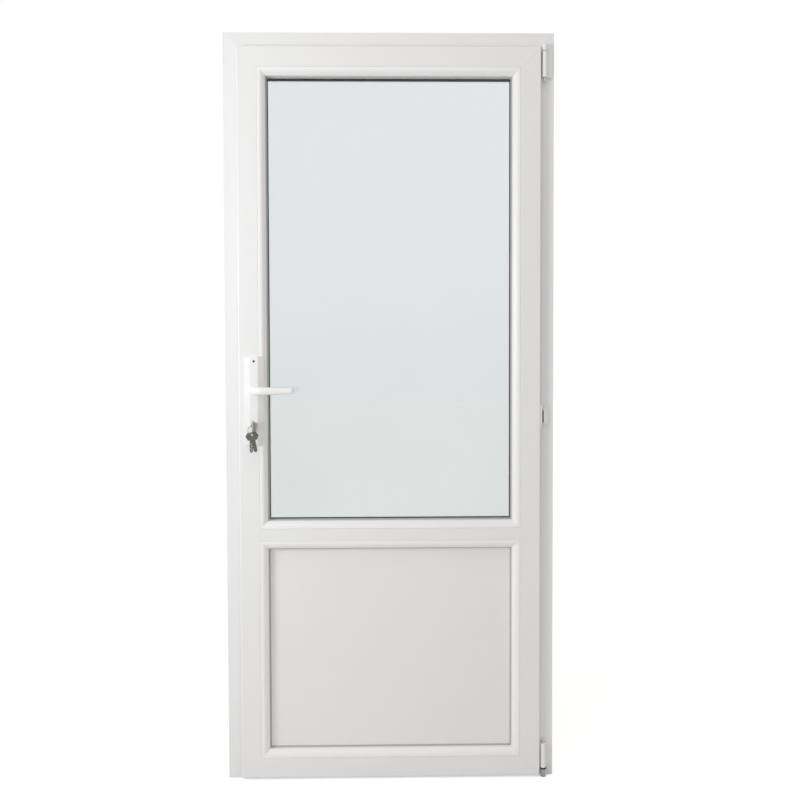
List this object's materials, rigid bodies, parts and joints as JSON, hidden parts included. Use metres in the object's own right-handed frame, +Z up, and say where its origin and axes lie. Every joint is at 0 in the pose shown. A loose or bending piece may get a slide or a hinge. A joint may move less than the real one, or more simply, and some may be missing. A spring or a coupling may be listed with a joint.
{
  "type": "half-glazed exterior door with frame",
  "caption": "White plastic half-glazed exterior door in its frame, opening inwards, with double glazing above, a flat panel below, a lever handle and lock.",
  "frame": {"origin": "on the floor, on the threshold's bottom face, in the middle of the frame's width and depth", "axes": "+Z up, +X along the wall to the hinge side as seen from the room, +Y from the room to the outside"},
  "size_m": [0.88, 0.184, 2],
  "materials": {
    "white_pvc": "extruded white plastic, satin gloss, welded corners",
    "white_panel": "smooth white plastic-skinned panel",
    "grey_gasket": "dark grey synthetic rubber",
    "clear_glass": "clear float glass",
    "mill_aluminium": "mill finish, drawn",
    "white_lacquer": "white gloss lacquer",
    "zinc_steel": "zinc plated",
    "dark_steel": "bare dark steel",
    "nickel": "dull nickel"
  },
  "bodies": {
    "frame": {"frame_lock_jamb": "white_pvc", "frame_hinge_jamb": "white_pvc", "frame_head": "white_pvc", "threshold": "mill_aluminium", "threshold_seal": "grey_gasket", "frame_seal": "grey_gasket", "strike_plate": "zinc_steel", "top_hinge_bearing": "white_lacquer", "top_hinge_pin": "zinc_steel", "bottom_hinge_bearing": "dark_steel", "bottom_hinge_pin": "zinc_steel", "catch_keeper": "white_lacquer"},
    "leaf": {"leaf_lock_stile": "white_pvc", "leaf_hinge_stile": "white_pvc", "leaf_top_rail": "white_pvc", "leaf_bottom_rail": "white_pvc", "leaf_mid_rail": "white_pvc", "leaf_seal": "grey_gasket", "glass_bead_left": "white_pvc", "glass_bead_right": "white_pvc", "glass_bead_top": "white_pvc", "glass_bead_bottom": "white_pvc", "panel_bead_left": "white_pvc", "panel_bead_right": "white_pvc", "panel_bead_top": "white_pvc", "panel_bead_bottom": "white_pvc", "inner_gaskets": "grey_gasket", "outer_gaskets": "grey_gasket", "inner_pane": "clear_glass", "outer_pane": "clear_glass", "glass_spacer": "mill_aluminium", "lower_panel": "white_panel", "lock_faceplate": "zinc_steel", "latch_bolt": "zinc_steel", "dead_bolt": "zinc_steel", "lock_cylinder": "nickel", "inside_handle_plate": "white_lacquer", "outside_handle_plate": "white_lacquer", "top_hinge_arm": "white_lacquer", "bottom_hinge_flap": "white_lacquer", "catch_cam": "white_lacquer", "lock_key": "nickel", "key_ring": "nickel", "spare_key": "nickel", "second_spare_key": "nickel"},
    "lever": {"inside_lever": "white_lacquer", "outside_lever": "white_lacquer", "lever_spindle": "zinc_steel"}
  },
  "joints": [
    {"name": "leaf_swing", "type": "hinge", "parent": "frame", "child": "leaf", "pos_m": [0.4135, -0.043, 0.98], "axis": [0, 0, 1], "range_deg": [0, 100]},
    {"name": "lever_turn", "type": "hinge", "parent": "leaf", "child": "lever", "pos_m": [-0.361, -0.018, 1.052], "axis": [0, 1, 0], "range_deg": [0, 40], "stiffness_Nm_per_rad": 1.6, "springref_deg": -22.92}
  ]
}
